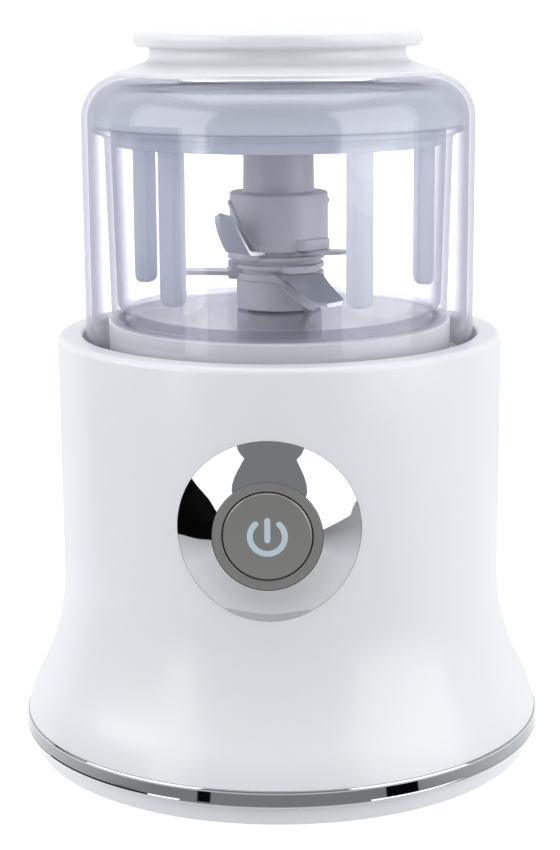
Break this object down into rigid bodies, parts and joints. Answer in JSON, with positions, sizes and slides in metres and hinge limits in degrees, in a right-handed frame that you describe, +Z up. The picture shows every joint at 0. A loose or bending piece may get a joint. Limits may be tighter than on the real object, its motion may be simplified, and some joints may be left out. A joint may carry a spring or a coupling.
{
  "type": "food processor",
  "caption": "Mini food processor: clear bowl with grey blade unit, milky baffle lid and clear domed cover on a flared white motor base with a chrome-framed push button.",
  "frame": {"origin": "centre of the feet's resting plane, under the motor axis", "axes": "+Z up along the motor axis, the push button faces -Y, +X to the user's right when facing the button's side from the front"},
  "size_m": [0.16, 0.16, 0.222],
  "materials": {
    "gloss_white": "polished",
    "chrome": "mirror",
    "foot_rubber": "matte",
    "screw_steel": "satin",
    "grey_satin": "satin",
    "black_plastic": "matte",
    "lamination": "matte",
    "copper_wire": "satin",
    "carbon": "matte",
    "black_rubber": "matte",
    "board_green": "satin",
    "icon_blue": "satin",
    "coupler_grey": "satin",
    "clear_plastic": "polished",
    "milky_plastic": "satin",
    "hub_grey": "satin",
    "blade_steel": "polished",
    "silicone_white": "satin"
  },
  "bodies": {
    "base": {"base_housing": "gloss_white", "bowl_seat": "gloss_white", "base_plate": "gloss_white", "chrome_trim_ring": "chrome", "button_bezel": "chrome", "foot_front_left": "foot_rubber", "foot_front_right": "foot_rubber", "foot_rear_left": "foot_rubber", "foot_rear_right": "foot_rubber", "base_screws": "screw_steel", "motor_screws": "screw_steel", "motor_upper_bracket": "screw_steel", "motor_lower_bracket": "screw_steel", "upper_bearing": "screw_steel", "lower_bearing": "screw_steel", "button_ring": "grey_satin", "switch_bracket": "black_plastic", "button_switch": "black_plastic", "interlock_switch": "black_plastic", "terminal_block": "black_plastic", "brush_holders": "black_plastic", "motor_stator": "lamination", "field_coils": "copper_wire", "carbon_brushes": "carbon", "motor_dampers": "black_rubber", "shaft_seal": "black_rubber", "cord_grommet": "black_rubber", "control_board": "board_green"},
    "button": {"push_button": "grey_satin", "button_icon": "icon_blue", "button_spring": "screw_steel", "switch_plunger": "black_plastic"},
    "rotor": {"motor_shaft": "screw_steel", "armature_core": "lamination", "armature_windings": "copper_wire", "commutator": "copper_wire", "cooling_fan": "black_plastic", "drive_coupler": "coupler_grey"},
    "interlock": {"interlock_ring": "gloss_white"},
    "cover": {"cover_dome": "clear_plastic", "cover_grip": "gloss_white"},
    "bowl": {"bowl": "clear_plastic", "spindle_bush": "coupler_grey", "spindle_seal": "black_rubber"},
    "spindle": {"bowl_spindle": "screw_steel", "spindle_circlip": "screw_steel"},
    "blades": {"blade_hub": "hub_grey", "upper_blade": "blade_steel", "lower_blade": "blade_steel"},
    "lid": {"baffle_lid": "milky_plastic", "lid_gasket": "silicone_white"}
  },
  "joints": [
    {"name": "button_press", "type": "slide", "parent": "base", "child": "button", "axis": [0, 1, 0], "range_m": [0, 0.0022], "stiffness_N_per_m": 800, "springref_m": -0.0015},
    {"name": "motor_spin", "type": "hinge", "parent": "base", "child": "rotor", "pos_m": [0, 0, 0.06], "axis": [0, 0, 1], "continuous": true},
    {"name": "cover_twist", "type": "hinge", "parent": "base", "child": "interlock", "pos_m": [0, 0, 0.1175], "axis": [0, 0, -1], "range_deg": [0, 18]},
    {"name": "cover_lift", "type": "slide", "parent": "interlock", "child": "cover", "axis": [0, 0, 1], "range_m": [0, 0.235]},
    {"name": "bowl_lift", "type": "slide", "parent": "base", "child": "bowl", "axis": [0, 0, 1], "range_m": [0, 0.03]},
    {"name": "spindle_spin", "type": "hinge", "parent": "bowl", "child": "spindle", "pos_m": [0, 0, 0.135], "axis": [0, 0, 1], "continuous": true},
    {"name": "blade_lift", "type": "slide", "parent": "spindle", "child": "blades", "axis": [0, 0, 1], "range_m": [0, 0.065]},
    {"name": "lid_lift", "type": "slide", "parent": "bowl", "child": "lid", "axis": [0, 0, 1], "range_m": [0, 0.115]}
  ],
  "couplings": [
    {"joint": "spindle_spin", "follows": "motor_spin", "ratio": 1},
    {"joint": "bowl_lift", "follows": "cover_lift", "ratio": 0.12766},
    {"joint": "blade_lift", "follows": "cover_lift", "ratio": 0.2766},
    {"joint": "lid_lift", "follows": "cover_lift", "ratio": 0.48936}
  ]
}
